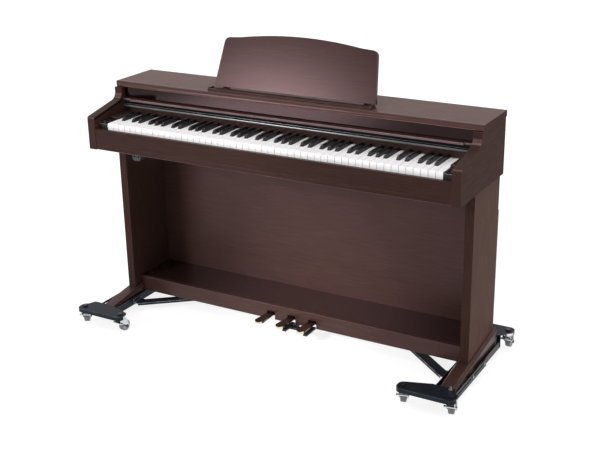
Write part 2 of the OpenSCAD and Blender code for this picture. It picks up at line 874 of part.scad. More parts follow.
// Black steel frame under the pedal boards: cheeks with the pedal shaft, and a bracket with two
// arms that reach forward under the middle and right pedals
module pedal_frame() {
    cheek = 4;
    cheek_x = 1.5 * pedal_pitch + 8;
    top = board_top - board_t;
    arm_w = 14;
    arm_top = board_top - board_h - 1;
    color(STEEL) behind_keys() translate([pedal_x, 0, 0]) {
        block([-cheek_x - cheek, board_front + board_t + 20, top - 3],
              [cheek_x + cheek, pedal_pivot_y + 20, top]);
        for (x = [-cheek_x - cheek, -pedal_pitch / 2 - cheek / 2, pedal_pitch / 2 - cheek / 2, cheek_x])
            block([x, pedal_pivot_y - 12, pedal_pivot_z - 9], [x + cheek, pedal_pivot_y + 12, top]);
        translate([-cheek_x - cheek, pedal_pivot_y, pedal_pivot_z]) rotate([0, 90, 0])
            cylinder(r = pedal_pivot_r, h = 2 * (cheek_x + cheek));
        block([-arm_w / 2, board_front - 26, arm_top - 7],
              [pedal_pitch + arm_w / 2, board_front - 6, arm_top]);
        for (x = [0, pedal_pitch])
            block([x - arm_w / 2, board_front - 52, arm_top - 7],
                  [x + arm_w / 2, board_front + board_t, arm_top]);
        for (x = [0.25, 0.75])
            block([pedal_pitch * x - 6, board_front - 8, arm_top - 7],
                  [pedal_pitch * x + 6, board_front + board_t, board_top - board_h]);
    }
}

// Pedal: a steel lever on the shaft, broadening into a rounded brass plate that rises to its tip
module pedal(i) {
    tip_y = board_front - pedal_out;
    root_y = board_front + board_t + 6;
    tip_z = pedal_root_z + pedal_tip_rise;
    eye_r = 9;
    color(BRASS) behind_keys() translate([pedal_x + i * pedal_pitch, 0, 0]) {
        intersection() {
            translate([0, 0, pedal_root_z - 40]) linear_extrude(80) polygon(concat(
                arc(0, tip_y + pedal_w / 2, pedal_w / 2, 180, 360, 12),
                [[pedal_w / 2 - 1, tip_y + 0.8 * pedal_w],
                 [pedal_neck_w / 2, board_front - 10], [pedal_neck_w / 2, root_y],
                 [-pedal_neck_w / 2, root_y], [-pedal_neck_w / 2, board_front - 10],
                 [1 - pedal_w / 2, tip_y + 0.8 * pedal_w]]
            ));
            slab(-pedal_w, 2 * pedal_w) polygon([
                [tip_y, tip_z - pedal_t + 2], [tip_y, tip_z - 2], [tip_y + 5, tip_z],
                [tip_y + 16, tip_z], [board_front - 6, pedal_root_z], [root_y, pedal_root_z],
                [root_y, pedal_root_z - pedal_t], [board_front - 6, pedal_root_z - pedal_t],
                [tip_y + 22, tip_z - pedal_t], [tip_y + 2, tip_z - pedal_t]
            ]);
        }
        difference() {
            union() {
                block([-lever_w / 2, root_y - 2, pedal_root_z - pedal_t],
                      [lever_w / 2, pedal_pivot_y, pedal_root_z]);
                translate([-lever_w / 2, pedal_pivot_y, pedal_pivot_z]) rotate([0, 90, 0])
                    cylinder(r = eye_r, h = lever_w);
            }
            translate([-lever_w, pedal_pivot_y, pedal_pivot_z]) rotate([0, 90, 0])
                cylinder(r = pedal_pivot_r + bore_gap, h = 2 * lever_w);
        }
    }
}

// Screws in the back board, cam fittings in the pedal board, and the bolts of the trays
module screws() {
    color(CHROME) {
        at_back_screws() {
            cylinder(r1 = 4, r2 = 2.8, h = 2.4);
            translate([0, 0, -screw_len]) cylinder(r = screw_r, h = screw_len);
        }
        at_cams() translate([0, 0, -cam_h]) cylinder(r = cam_r, h = cam_h);
        translate([tray_mid_x + 0.36 * tray_w, trolley_y - riser_y - 10, wing_z]) {
            cylinder(r = 7, h = 4, $fn = 6);
            cylinder(r = 3, h = 12);
        }
        both_sides() for (y = slot_gap_y)
            translate([tray_out_x, trolley_y + y, tray_z + tray_wall_h / 2 + 3]) rotate([0, 90, 0])
                cylinder(r = 5, h = 3, $fn = 6);
    }
}

// ---- Trolley ----

// Plan of a wing plate: a straight edge at y = 0, rounded corners, and a back edge that runs out
// to the tray, with a long slope on the inner side
module wing_plan(x0, x1, reach) {
    r = wing_corner_r;
    inner = wing_mid_x - wing_w / 2;
    outer = wing_mid_x + wing_w / 2;
    polygon(concat(
        arc(inner + r, r, r, 180, 270, 6),
        arc(outer - r, r, r, 270, 360, 6),
        arc(outer - r, wing_d - r, r, 0, 75, 6),
        [[x1, reach], [x0, reach]],
        arc(inner + r, wing_d - r, r, 105, 180, 6)
    ));
}

// Plan of the lip, which follows the straight edge and turns round its two corners
module lip_plan() {
    r = wing_corner_r;
    inner = wing_mid_x - wing_w / 2;
    outer = wing_mid_x + wing_w / 2;
    polygon(concat(
        arc(inner + r, r, r, 180, 270, 6),
        arc(outer - r, r, r, 270, 360, 6),
        arc(outer - r, r, r - sheet, 360, 270, 6),
        arc(inner + r, r, r - sheet, 270, 180, 6)
    ));
}

// Wing of a tray: the plate on its two castors, the bridge, the lip and the riser down to the tray
module wing(floor_z, inset) {
    reach = wing_edge - riser_y;
    x0 = tray_in_x + inset;
    x1 = tray_out_x - inset;
    translate([0, -wing_edge, 0]) difference() {
        union() {
            translate([0, 0, wing_z - sheet]) linear_extrude(sheet) wing_plan(x0, x1, reach + 1);
            translate([0, 0, wing_z - lip_h]) linear_extrude(lip_h) lip_plan();
            block([x0, reach, floor_z], [x1, reach + sheet, wing_z]);
        }
        for (side = [-1, 1])
            translate([wing_mid_x + side * castor_gap / 2, wing_edge - castor_y, wing_z - lip_h])
                cylinder(r = stem_r + bore_gap, h = 2 * lip_h);
    }
}

// Front half of a tray: the outer channel, with slots for the clamp bolts in its outer wall
module front_tray_right() {
    wall_start = -riser_y + 12;
    color(STEEL) translate([0, trolley_y, 0]) difference() {
        union() {
            wing(tray_z, 0);
            block([tray_in_x, -riser_y, tray_z], [tray_out_x, front_wall_end, tray_z + sheet]);
            for (x = [tray_in_x, tray_out_x - sheet])
                block([x, wall_start, tray_z], [x + sheet, front_wall_end, tray_z + tray_wall_h]);
            block([tray_in_x + 8, -riser_y + 4, tray_z + sheet - 0.5],
                  [tray_out_x - 8, front_wall_end - tray_overlap - 2, foot_z]);
        }
        for (span = [[wall_start + 12, slot_gap_y[0] - 15], [slot_gap_y[0] + 15, slot_gap_y[1] - 14]])
            block([tray_out_x - sheet - 1, span[0], tray_z + tray_wall_h / 2],
                  [tray_out_x + 1, span[1], tray_z + tray_wall_h / 2 + 6]);
    }
}

module front_tray_left() {
    mirror([1, 0, 0]) front_tray_right();
}

// Rear half of a tray: the inner channel, which slides in the front half
module rear_tray_right() {
    inset = sheet + run;
    floor_z = tray_z + sheet + run / 2;
    color(STEEL) translate([0, trolley_y, 0]) {
        mirror([0, 1, 0]) wing(floor_z, inset);
        block([tray_in_x + inset, front_wall_end - tray_overlap, floor_z],
              [tray_out_x - inset, riser_y, floor_z + sheet - 0.3]);
        for (x = [tray_in_x + inset, tray_out_x - inset - sheet])
            block([x, front_wall_end - tray_overlap, floor_z],
                  [x + sheet, riser_y - 12, tray_z + tray_wall_h]);
    }
}

module rear_tray_left() {
    mirror([1, 0, 0]) rear_tray_right();
}

// Two slanting braces with a turned-down front edge, and the bar that joins them behind the pedals
module trolley_links() {
    plate = 3;
    flange = 9;
    tab = 20;
    start_y = brace_y + key_y - trolley_y;
    run_x = (link_y - start_y) / tan(brace_angle);
    half = brace_w / 2;
    end_x = tray_in_x - tab - run_x;
    bar_x = end_x + plate;
    color(STEEL) translate([0, trolley_y, brace_z]) {
        both_sides() {
            translate([0, 0, -plate]) linear_extrude(plate) polygon([
                [tray_in_x, start_y - half], [tray_in_x - tab, start_y - half],
                [end_x, link_y - half], [end_x, link_y + half],
                [tray_in_x - tab, start_y + half], [tray_in_x, start_y + half]
            ]);
            translate([0, 0, -flange]) linear_extrude(flange) polygon([
                [tray_in_x - tab, start_y - half], [end_x, link_y - half],
                [end_x, link_y - half + plate], [tray_in_x - tab, start_y - half + plate]
            ]);
            block([tray_in_x - plate, start_y - half, -flange], [tray_in_x, start_y + half, 12]);
        }
        block([-bar_x, link_y - half, -plate], [bar_x, link_y + half, 0]);
        block([-bar_x, link_y - half, -flange], [bar_x, link_y - half + plate, 0]);
    }
}

function castor_x(c) = c[1] * (wing_mid_x + c[2] * castor_gap / 2);
function castor_at(c) = [castor_x(c), trolley_y + c[3] * castor_y, 0];

// Places a piece on a castor's swivel axis, with the castor's own turn
module at_castor(c) {
    translate(castor_at(c)) rotate([0, 0, c[4]]) children();
}

// Swivelling fork of a castor, with its stem and nut, axle and brake pedal
module castor_fork(c) {
    top = wing_z - sheet - run;
    crown = 12;
    crown_r = 16;
    pedal_half = fork_half + cheek_t + 6;
    color(CHROME) at_castor(c) {
        translate([0, 0, top - crown]) cylinder(r = crown_r, h = crown);
        translate([0, 0, top - 1]) cylinder(r = stem_r, h = sheet + 2 * run + 2);
        translate([0, 0, wing_z + run]) cylinder(r = 9, h = 5, $fn = 6);
        block([-fork_half - cheek_t, -14, top - crown - 3], [fork_half + cheek_t, 15, top - crown]);
        for (x = [-fork_half - cheek_t, fork_half])
            slab(x, cheek_t) polygon(concat(
                [[15, top - crown]], arc(castor_trail, axle_z, 8, 20, -160, 8),
                [[-14, top - crown - 14], [-14, top - crown]]
            ));
        block([-pedal_half, -18, top - crown - 14], [pedal_half, -8, top - crown - 11]);
        translate([-fork_half - cheek_t - 2, castor_trail, axle_z]) rotate([0, 90, 0])
            cylinder(r = axle_r, h = 2 * (fork_half + cheek_t + 2));
    }
}

// Castor wheel: a tyre with rounded shoulders and a recessed hub on its axle
module castor_wheel(c) {
    half = wheel_w / 2;
    hub_half = fork_half - run;
    bore = axle_r + bore_gap;
    shoulder = 3;
    color("#8d9094") at_castor(c) translate([0, castor_trail, axle_z]) rotate([0, 90, 0])
        rotate_extrude() polygon(concat(
            [[bore, -hub_half], [8, -hub_half], [8, -half + 2]],
            [[wheel_r - 5, -half + 2], [wheel_r - 5, -half]],
            arc(wheel_r - shoulder, -half + shoulder, shoulder, -90, 0, 4),
            arc(wheel_r - shoulder, half - shoulder, shoulder, 0, 90, 4),
            [[wheel_r - 5, half], [wheel_r - 5, half - 2], [8, half - 2], [8, hub_half], [bore, hub_half]]
        ));
}

// ---- Nodes ----

side_panel_left();
side_panel_right();
top_board();
top_moulding();
fascia_board();
panel_strip();
key_rail();
key_slip();
key_bed();
cabinet_back();
key_blocks();
headphone_box();
power_inlet();
circuit_boards();
speakers();
rest_ledge();
rest_hinges();
key_frame();
white_keys();
black_keys();
legs();
feet();
back_board();
pedal_front_board();
pedal_top_board();
pedal_frame();
screws();
front_tray_left();
front_tray_right();
trolley_links();
key_cover();
music_rest();
rest_prop();
power_button();
volume_slider();
color(IVORY) at_keys() white_key(middle_c);  // key_c
color(IVORY) at_keys() white_key(middle_c + 1);  // key_d
color(BLACK) at_keys() black_key(middle_c);  // key_c_sharp
color(BLACK) at_keys() black_key(middle_c + 1);  // key_d_sharp
pedal(-1);  // soft_pedal
pedal(0);  // sostenuto_pedal
pedal(1);  // sustain_pedal
rear_tray_left();
rear_tray_right();
for (c = CASTORS) {
    castor_fork(c);
    castor_wheel(c);
}
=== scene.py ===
import json
import math

import bmesh
import bpy
from mathutils import Matrix, Vector

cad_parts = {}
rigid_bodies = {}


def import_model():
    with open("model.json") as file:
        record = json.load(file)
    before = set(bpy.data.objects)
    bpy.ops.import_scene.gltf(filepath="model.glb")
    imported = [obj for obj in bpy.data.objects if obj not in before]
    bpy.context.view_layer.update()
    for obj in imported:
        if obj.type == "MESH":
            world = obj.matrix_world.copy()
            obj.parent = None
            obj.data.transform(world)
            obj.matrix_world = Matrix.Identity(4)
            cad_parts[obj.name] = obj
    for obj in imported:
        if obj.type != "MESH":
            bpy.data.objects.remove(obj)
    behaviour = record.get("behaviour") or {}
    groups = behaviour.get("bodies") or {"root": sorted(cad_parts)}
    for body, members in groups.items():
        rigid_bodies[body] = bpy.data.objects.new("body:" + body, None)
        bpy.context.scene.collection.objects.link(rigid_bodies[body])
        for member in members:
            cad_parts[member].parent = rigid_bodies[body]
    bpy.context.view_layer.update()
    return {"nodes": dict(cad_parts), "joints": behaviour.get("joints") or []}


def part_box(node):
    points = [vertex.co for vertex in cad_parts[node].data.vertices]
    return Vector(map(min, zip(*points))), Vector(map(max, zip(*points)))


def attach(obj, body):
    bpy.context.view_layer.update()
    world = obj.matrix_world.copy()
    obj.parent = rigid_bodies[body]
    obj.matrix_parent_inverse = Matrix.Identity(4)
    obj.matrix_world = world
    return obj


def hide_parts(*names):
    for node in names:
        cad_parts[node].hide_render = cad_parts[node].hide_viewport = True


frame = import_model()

# ---------------------------------------------------------------------------------------------
# Studio. A faintly glowing white floor in a bright even room, under a broad light from straight
# above. A softbox before the bass end and a pool of light on the floor show as gloss on the
# polished fronts, and a small light falls on the pedals; the camera is before the treble end.
studio = bpy.context.scene
studio.view_settings.view_transform = "Standard"

lens_data = bpy.data.cameras.new("studio_camera")
lens_data.lens = 65.02
lens_data.sensor_width = 36.0
lens_data.clip_end = 60.0
camera = bpy.data.objects.new("studio_camera", lens_data)
studio.collection.objects.link(camera)
camera_place = (1.72366, -2.93695, 1.67913)
camera_turn = math.radians(29.780)
camera_tilt = math.radians(90 - 20.497)
camera_roll = math.radians(-1.0085)
camera.matrix_world = (
    Matrix.Translation(camera_place)
    @ Matrix.Rotation(camera_turn, 4, "Z")
    @ Matrix.Rotation(camera_tilt, 4, "X")
    @ Matrix.Rotation(camera_roll, 4, "Z")
)
studio.camera = camera

room = bpy.data.worlds.new("white_room")
room.use_nodes = True
room_glow = room.node_tree.nodes["Background"].inputs
room_glow["Color"].default_value = (1.0, 0.968, 0.978, 1.0)
room_glow["Strength"].default_value = 0.72
studio.world = room


def hang_light(name, kind, place, aim=None, **settings):
    """A light at a place, which shines straight down unless it is given something to aim at."""
    data = bpy.data.lights.new(name, kind)
    for key, value in settings.items():
        setattr(data, key, value)
    light = bpy.data.objects.new(name, data)
    light.location = place
    if aim:
        beam = Vector(aim) - light.location
        light.rotation_euler = beam.to_track_quat("-Z", "Y").to_euler()
    studio.collection.objects.link(light)


hang_light("overhead_light", "SUN", (0, 0, 4), energy=1.45, angle=math.radians(80))
hang_light(
    "front_softbox", "AREA", (-1.95, -3.2, 1.90), aim=(0, 0, 0.8),
    shape="RECTANGLE", size=0.75, size_y=0.4, energy=58,
)
hang_light(
    "floor_pool_light", "SPOT", (-1.66, -2.6, 2.6),
    energy=6200, spot_size=math.radians(38), spot_blend=1.0, shadow_soft_size=0.2,
)
hang_light(
    "pedal_light", "SPOT", (-0.4, -2.6, 1.7), aim=(0, 0.05, 0.15),
    energy=450, spot_size=math.radians(16), spot_blend=1.0, shadow_soft_size=0.15,
)

floor_half = 40.0
floor_corners = [
    (side * floor_half, end * floor_half, 0)
    for side, end in ((-1, -1), (1, -1), (1, 1), (-1, 1))
]
floor_mesh = bpy.data.meshes.new("studio_floor")
floor_mesh.from_pydata(floor_corners, [], [(0, 1, 2, 3)])
studio_floor = bpy.data.objects.new("studio_floor", floor_mesh)
studio.collection.objects.link(studio_floor)
floor_paint = bpy.data.materials.new("studio_floor_paint")
floor_paint.use_nodes = True
floor_shader = floor_paint.node_tree.nodes["Principled BSDF"]
floor_shader.inputs["Base Color"].default_value = (0.26, 0.26, 0.26, 1.0)
floor_shader.inputs["Roughness"].default_value = 0.9
floor_shader.inputs["Specular IOR Level"].default_value = 0.1
floor_shader.inputs["Emission Color"].default_value = (1.0, 1.0, 1.0, 1.0)
floor_shader.inputs["Emission Strength"].default_value = 0.82
floor_mesh.materials.append(floor_paint)

# ---------------------------------------------------------------------------------------------
# Trolley trays. Two long channels of folded sheet steel, each in a front and a rear half that
# slide together, with a lipped wing at either end and braces between them; black powder coat.


class Recipe:
    """A finish under construction: a node tree, and small steps that add and join its nodes."""

    def __init__(self, name):
        self.material = bpy.data.materials.new(name)
        self.material.use_nodes = True
        self.tree = self.material.node_tree
        self.shader = self.tree.nodes["Principled BSDF"]

    def join(self, out, to):
        self.tree.links.new(out, to)

    def set(self, **values):
        """Sets sockets of the shader, named with underscores for spaces."""
        for key, value in values.items():
            self.shader.inputs[key.replace("_", " ")].default_value = value

    def place(self, scale=(1, 1, 1)):
        """Object coordinates in metres, times a scale along each axis."""
        where = self.tree.nodes.new("ShaderNodeTexCoord")
        mapping = self.tree.nodes.new("ShaderNodeMapping")
        mapping.inputs["Scale"].default_value = scale
        self.join(where.outputs["Object"], mapping.inputs["Vector"])
        return mapping.outputs["Vector"]

    def noise(self, vector, scale, detail=3.0, roughness=0.5, distortion=0.0):
        """A noise pattern from 0 to 1; the scale is its number of features to a metre."""
        made = self.tree.nodes.new("ShaderNodeTexNoise")
        made.inputs["Scale"].default_value = scale
        made.inputs["Detail"].default_value = detail
        made.inputs["Roughness"].default_value = roughness
        made.inputs["Distortion"].default_value = distortion
        self.join(vector, made.inputs["Vector"])
        return made.outputs["Fac"]

    def rubbed_and_highlit_edges(self):
        """1 on the eased edges of a piece where they are rubbed, 0 on its faces; what is laid there
        is wear, and on some finishes also a painted highlight.
        """
        rim = self.tree.nodes.new("ShaderNodeAttribute")
        rim.attribute_name = "rim"
        patches = self.noise(self.place(), scale=30.0, detail=4.0, roughness=0.7)
        rubbed = self.spread(patches, -1.2, 2.2)
        product = self.tree.nodes.new("ShaderNodeMath")
        product.operation = "MULTIPLY"
        self.join(rim.outputs["Fac"], product.inputs[0])
        self.join(rubbed, product.inputs[1])
        return product.outputs["Value"]

    def ramp(self, fac, stops):
        """Colours for a pattern, from stops of a position and a colour."""
        made = self.tree.nodes.new("ShaderNodeValToRGB")
        band = made.color_ramp
        while len(band.elements) < len(stops):
            band.elements.new(0.5)
        for element, (at, colour) in zip(band.elements, stops):
            element.position = at
            element.color = (*colour, 1.0)
        self.join(fac, made.inputs["Fac"])
        return made.outputs["Color"]

    def spread(self, fac, low, high):
        """Maps a pattern's 0 to 1 onto low to high, and holds it between 0 and 1."""
        made = self.tree.nodes.new("ShaderNodeMapRange")
        made.inputs["To Min"].default_value = low
        made.inputs["To Max"].default_value = high
        self.join(fac, made.inputs["Value"])
        held = self.tree.nodes.new("ShaderNodeClamp")
        self.join(made.outputs["Result"], held.inputs["Value"])
        return held.outputs["Result"]

    def mix(self, fac, under, over):
        """Lays one colour over another as far as a pattern says."""
        made = self.tree.nodes.new("ShaderNodeMix")
        made.data_type = "RGBA"
        self.join(fac, made.inputs["Factor"])
        colour_a, colour_b = made.inputs[6], made.inputs[7]
        for value, socket in ((under, colour_a), (over, colour_b)):
            if isinstance(value, bpy.types.NodeSocket):
                self.join(value, socket)
            else:
                socket.default_value = (*value, 1.0)
        mixed_colour = made.outputs[2]
        return mixed_colour

    def colour(self, out):
        self.join(out, self.shader.inputs["Base Color"])

    def roughness(self, fac, low, high):
        self.join(self.spread(fac, low, high), self.shader.inputs["Roughness"])

    def bump(self, height, strength, distance):
        made = self.tree.nodes.new("ShaderNodeBump")
        made.inputs["Strength"].default_value = strength
        made.inputs["Distance"].default_value = distance
        self.join(height, made.inputs["Height"])
        self.join(made.outputs["Normal"], self.shader.inputs["Normal"])


def tint(colour, share):
    """A colour made lighter or darker by a share."""
    return tuple(share * c for c in colour)


def powder_coat(name, colour, roughness, gloss=0.5, edge=(0.11, 0.115, 0.12)):
    """Powder coat on steel: a fine orange peel, duller rubbed patches and paler rubbed edges, partly
    wear and partly a painted highlight.
    """
    made = Recipe(name)
    peel = made.noise(made.place(), scale=900.0, detail=2.0)
    rub = made.noise(made.place(), scale=14.0, detail=4.0, roughness=0.6)
    coat = made.ramp(rub, [(0.35, colour), (0.75, tint(colour, 1.6))])
    made.colour(made.mix(made.rubbed_and_highlit_edges(), coat, edge))
    made.roughness(rub, *roughness)
    made.bump(peel, strength=0.18, distance=0.0002)
    made.set(Specular_IOR_Level=gloss, Specular_Tint=(0.82, 0.94, 1.0, 1.0))
    return made.material


def eased(node, name, material, radius, body="piano", steps=2):
    """A copy of a CAD node with its corners rounded by a radius, which stands for that node."""
    weld = 1e-6
    flat = math.radians(0.4)
    corner = math.radians(30)
    crease = math.radians(14)
    shape = bmesh.new()
    shape.from_mesh(frame["nodes"][node].data)
    bmesh.ops.remove_doubles(shape, verts=shape.verts, dist=weld)
    bmesh.ops.dissolve_limit(shape, angle_limit=flat, verts=shape.verts, edges=shape.edges)
    sharp = [
        edge for edge in shape.edges
        if len(edge.link_faces) == 2 and edge.calc_face_angle() > corner
    ]
    rim = shape.faces.layers.float.new("rim")
    rounded = bmesh.ops.bevel(
        shape, geom=sharp, offset=radius, offset_type="OFFSET", segments=steps, profile=0.5,
        affect="EDGES", clamp_overlap=True,
    )
    for face in rounded["faces"]:
        face[rim] = 1.0
    bmesh.ops.recalc_face_normals(shape, faces=shape.faces)
    mesh = bpy.data.meshes.new(name)
    shape.to_mesh(mesh)
    shape.free()
    mesh.shade_smooth()
    mesh.set_sharp_from_angle(angle=crease)
    mesh.materials.append(material)
    piece = bpy.data.objects.new(name, mesh)
    studio.collection.objects.link(piece)
    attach(piece, body)
    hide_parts(node)
    return piece


# The trays' rubbed edges are lightened to a pale grey: a painted highlight along the lips of the
# trays.
tray_coat = powder_coat(
    "tray_powder_coat", (0.0065, 0.0090, 0.0135), roughness=(0.26, 0.40),
    gloss=0.15, edge=(0.42, 0.43, 0.46),
)
for node in ("front_tray_left", "front_tray_right", "trolley_links"):
    eased(node, node + "_coated", tray_coat, radius=0.0011)
for node in ("rear_tray_left", "rear_tray_right"):
    eased(node, node + "_coated", tray_coat, radius=0.0007, body=node)

# ---------------------------------------------------------------------------------------------
# Castors. Eight swivel forks of pressed, zinc-plated steel with a brake pedal, each with a grey
# rubber tyre round a paler plastic disc that is stiffened by moulded ribs.


def metal(name, colour, roughness, streak=(1, 1, 1), dulling=0.72):
    """Bare or plated metal with fine polishing marks and slightly dulled patches."""
    made = Recipe(name)
    made.set(Metallic=1.0)
    marks = made.noise(made.place(streak), scale=420.0, roughness=0.6)
    dull = made.noise(made.place(), scale=26.0, roughness=0.6)
    made.colour(made.ramp(dull, [(0.3, tint(colour, dulling)), (0.7, colour)]))
    made.roughness(marks, *roughness)
    made.bump(marks, strength=0.08, distance=0.0001)
    return made.material


def moulded_plastic(name, colour, roughness):
    """Moulded plastic or rubber with a fine grain and a slightly uneven tone."""
    made = Recipe(name)
    pits = made.noise(made.place(), scale=700.0, detail=2.0)
    patch = made.noise(made.place(), scale=20.0, roughness=0.6)
    tone = made.ramp(patch, [(0.3, tint(colour, 0.8)), (0.7, colour)])
    made.colour(made.mix(made.rubbed_and_highlit_edges(), tone, tint(colour, 1.8)))
    made.roughness(pits, *roughness)
    made.bump(pits, strength=0.2, distance=0.0002)
    return made.material


def second_finish(piece, material, chosen):
    """Gives another finish to the faces of a piece that a test chooses.

    The test gets a face's middle and its normal, which has a length of 1, so a normal with 0.9
    along an axis faces nearly straight along it.
    """
    mesh = piece.data
    mesh.materials.append(material)
    for face in mesh.polygons:
        if chosen(face.center, face.normal):
            face.material_index = len(mesh.materials) - 1


class Growth:
    """A Geometry Nodes tree with named inputs, which grows a plain mesh out of host points."""

    def __init__(self, name, **inputs):
        self.tree = bpy.data.node_groups.new(name, "GeometryNodeTree")
        self.tree.is_modifier = True
        panel = self.tree.interface
        panel.new_socket("Geometry", in_out="INPUT", socket_type="NodeSocketGeometry")
        for label, value in inputs.items():
            kind = "NodeSocketInt" if isinstance(value, int) else "NodeSocketFloat"
            panel.new_socket(label, in_out="INPUT", socket_type=kind).default_value = value
        panel.new_socket("Geometry", in_out="OUTPUT", socket_type="NodeSocketGeometry")
        self.start = self.tree.nodes.new("NodeGroupInput").outputs
        self.end = self.tree.nodes.new("NodeGroupOutput").inputs

    def add(self, kind, sockets=(), **settings):
        """Adds a node with its settings, joins or sets its sockets, and gives its first output."""
        made = self.tree.nodes.new(kind)
        for key, value in settings.items():
            setattr(made, key, value)
        for place, value in dict(sockets).items():
            if isinstance(value, bpy.types.NodeSocket):
                self.tree.links.new(value, made.inputs[place])
            else:
                made.inputs[place].default_value = value
        return made.outputs[0]

    def reckon(self, operation, first, second):
        """Works out a number from two others."""
        return self.add("ShaderNodeMath", {0: first, 1: second}, operation=operation)

    def on_points(self, points, instance, **sockets):
        """Puts an instance on each point."""
        places = {"Points": points, "Instance": instance, **sockets}
        return self.add("GeometryNodeInstanceOnPoints", places)

    def joined(self, *parts):
        """Several geometries as one."""
        made = self.tree.nodes.new("GeometryNodeJoinGeometry")
        for part in parts:
            self.tree.links.new(part, made.inputs[0])
        return made.outputs[0]

    def finish(self, geometry, material):
        """Ends the tree with real geometry that has a material."""
        real = self.add("GeometryNodeRealizeInstances", {0: geometry})
        dressed = self.add("GeometryNodeSetMaterial", {0: real, "Material": material})
        self.tree.links.new(dressed, self.end[0])

    def grow(self, name, points, body, slot, **values):
        """Runs the tree on a mesh of points and returns the result as a piece on a body."""
        host_mesh = bpy.data.meshes.new(name + "_points")
        host_mesh.from_pydata([tuple(point) for point in points], [], [])
        host = bpy.data.objects.new(name + "_host", host_mesh)
        studio.collection.objects.link(host)
        modifier = host.modifiers.new("growth", "NODES")
        modifier.node_group = self.tree
        for item in self.tree.interface.items_tree:
            if item.in_out == "INPUT" and item.name in values:
                modifier[item.identifier] = values[item.name]
        grown = host.evaluated_get(bpy.context.evaluated_depsgraph_get())
        mesh = bpy.data.meshes.new_from_object(grown)
        mesh.name = name
        bpy.data.objects.remove(host)
        piece = bpy.data.objects.new(name, mesh)
        studio.collection.objects.link(piece)
        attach(piece, body)
        return piece


bright_zinc = metal("bright_zinc", (0.74, 0.75, 0.77), roughness=(0.20, 0.34))
tyre_rubber = moulded_plastic("tyre_rubber", (0.13, 0.135, 0.145), roughness=(0.45, 0.62))
disc_plastic = moulded_plastic("disc_plastic", (0.42, 0.43, 0.45), roughness=(0.30, 0.45))
rib_plastic = moulded_plastic("rib_plastic", (0.70, 0.71, 0.73), roughness=(0.30, 0.45))
dark_zinc = metal("dark_zinc", (0.10, 0.10, 0.11), roughness=(0.30, 0.45))

ribs = Growth("wheel_ribs", count=8, length=0.006, height=0.0016, width=0.0012, radius=0.0115)
rib_ring = ribs.add(
    "GeometryNodeMeshCircle",
    {"Vertices": ribs.start["count"], "Radius": ribs.start["radius"]},
)
rib_size = ribs.add(
    "ShaderNodeCombineXYZ",
    {0: ribs.start["length"], 1: ribs.start["width"], 2: ribs.start["height"]},
)
rib_block = ribs.add("GeometryNodeMeshCube", {"Size": rib_size})
rib_place = ribs.add("GeometryNodeInputPosition")
rib_turn = ribs.add("FunctionNodeAlignRotationToVector", {"Vector": rib_place}, axis="X")
rib_set = ribs.on_points(rib_ring, rib_block, Rotation=rib_turn)
ribs.finish(ribs.on_points(ribs.start["Geometry"], rib_set), rib_plastic)

disc_radius = 0.0152
disc_depth = 0.0060
axle_end_radius = 0.0045
wing_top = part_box("front_tray_right")[1].z
for joint in frame["joints"]:
    if not joint["name"].endswith("_roll"):
        continue
    wheel = joint["child"]
    fork = joint["parent"]
    middle = Vector(joint["pos_m"])
    axle = Vector(joint["axis"]).normalized()

    def off_axle(place):
        """The distance of a place from this wheel's axle."""
        along = (place - middle).dot(axle)
        return (place - middle - along * axle).length

    def on_disc(place, normal):
        """The disc inside the tyre."""
        return off_axle(place) < disc_radius

    def on_nut_or_axle(place, normal):
        """The nut over the wing plate and the ends of the axle."""
        return place.z > wing_top or off_axle(place) < axle_end_radius

    tyre = eased(wheel, wheel + "_tyre", tyre_rubber, radius=0.0004, body=wheel)
    second_finish(tyre, disc_plastic, on_disc)
    plated = eased(fork, fork + "_plated", bright_zinc, radius=0.0006, body=fork)
    second_finish(plated, dark_zinc, on_nut_or_axle)
    for face, outward in (("near", axle), ("far", -axle)):
        spokes = ribs.grow(f"{wheel}_{face}_ribs", [(0, 0, disc_depth)], wheel, "wheel_grey")
        facing = outward.to_track_quat("Z", "Y").to_matrix().to_4x4()
        spokes.data.transform(Matrix.Translation(middle) @ facing)

# ---------------------------------------------------------------------------------------------
# Legs and feet. Chipboard panels in dark rosewood laminate under a satin lacquer, with the grain
# running up the legs and along the feet, and eased edges that wear a little lighter.
GRAIN_ALONG = {"x": (0.05, 1.0, 1.0), "y": (1.0, 0.05, 1.0), "z": (1.0, 1.0, 0.05)}


def rosewood(name, along, tone=1.0, roughness=(0.26, 0.38), gloss=0.36, edge_wear_and_highlight=1.5):
    """Dark rosewood laminate: short pores and soft wider streaks that run along one axis."""
    made = Recipe(name)
    stretch = GRAIN_ALONG[along]
    longer = tuple(s if s == 1.0 else 0.9 * s for s in stretch)
    streaks = made.noise(made.place(stretch), scale=210.0, roughness=0.6, distortion=0.3)
    pores = made.noise(made.place(longer), scale=620.0, detail=2.0, roughness=0.6)
    cloud = made.noise(made.place(), scale=2.6, detail=2.0)
    dark = tint((0.0300, 0.0145, 0.0112), tone)
    warm = tint((0.0410, 0.0205, 0.0160), tone)
    light = tint((0.0570, 0.0300, 0.0240), tone)
    band = made.ramp(streaks, [(0.30, dark), (0.50, warm), (0.72, light)])
    pored = made.mix(made.spread(pores, -0.5, 1.1), band, tint(dark, 0.6))
    clouded = made.mix(made.spread(cloud, 0.0, 0.25), pored, light)
    # The eased edges turn lighter by this factor: a little wear at 1.5, a painted highlight where it
    # is set much higher.
    made.colour(made.mix(made.rubbed_and_highlit_edges(), clouded, tint(light, edge_wear_and_highlight)))
    made.roughness(pores, *roughness)
    made.bump(pores, strength=0.10, distance=0.0003)
    made.set(Specular_IOR_Level=gloss, Specular_Tint=(1.0, 0.62, 0.66, 1.0))
    return made.material


def on_outer_face(place, normal):
    """The faces of the legs that look away from the middle of the piano."""
    return normal.x * place.x > 0.3


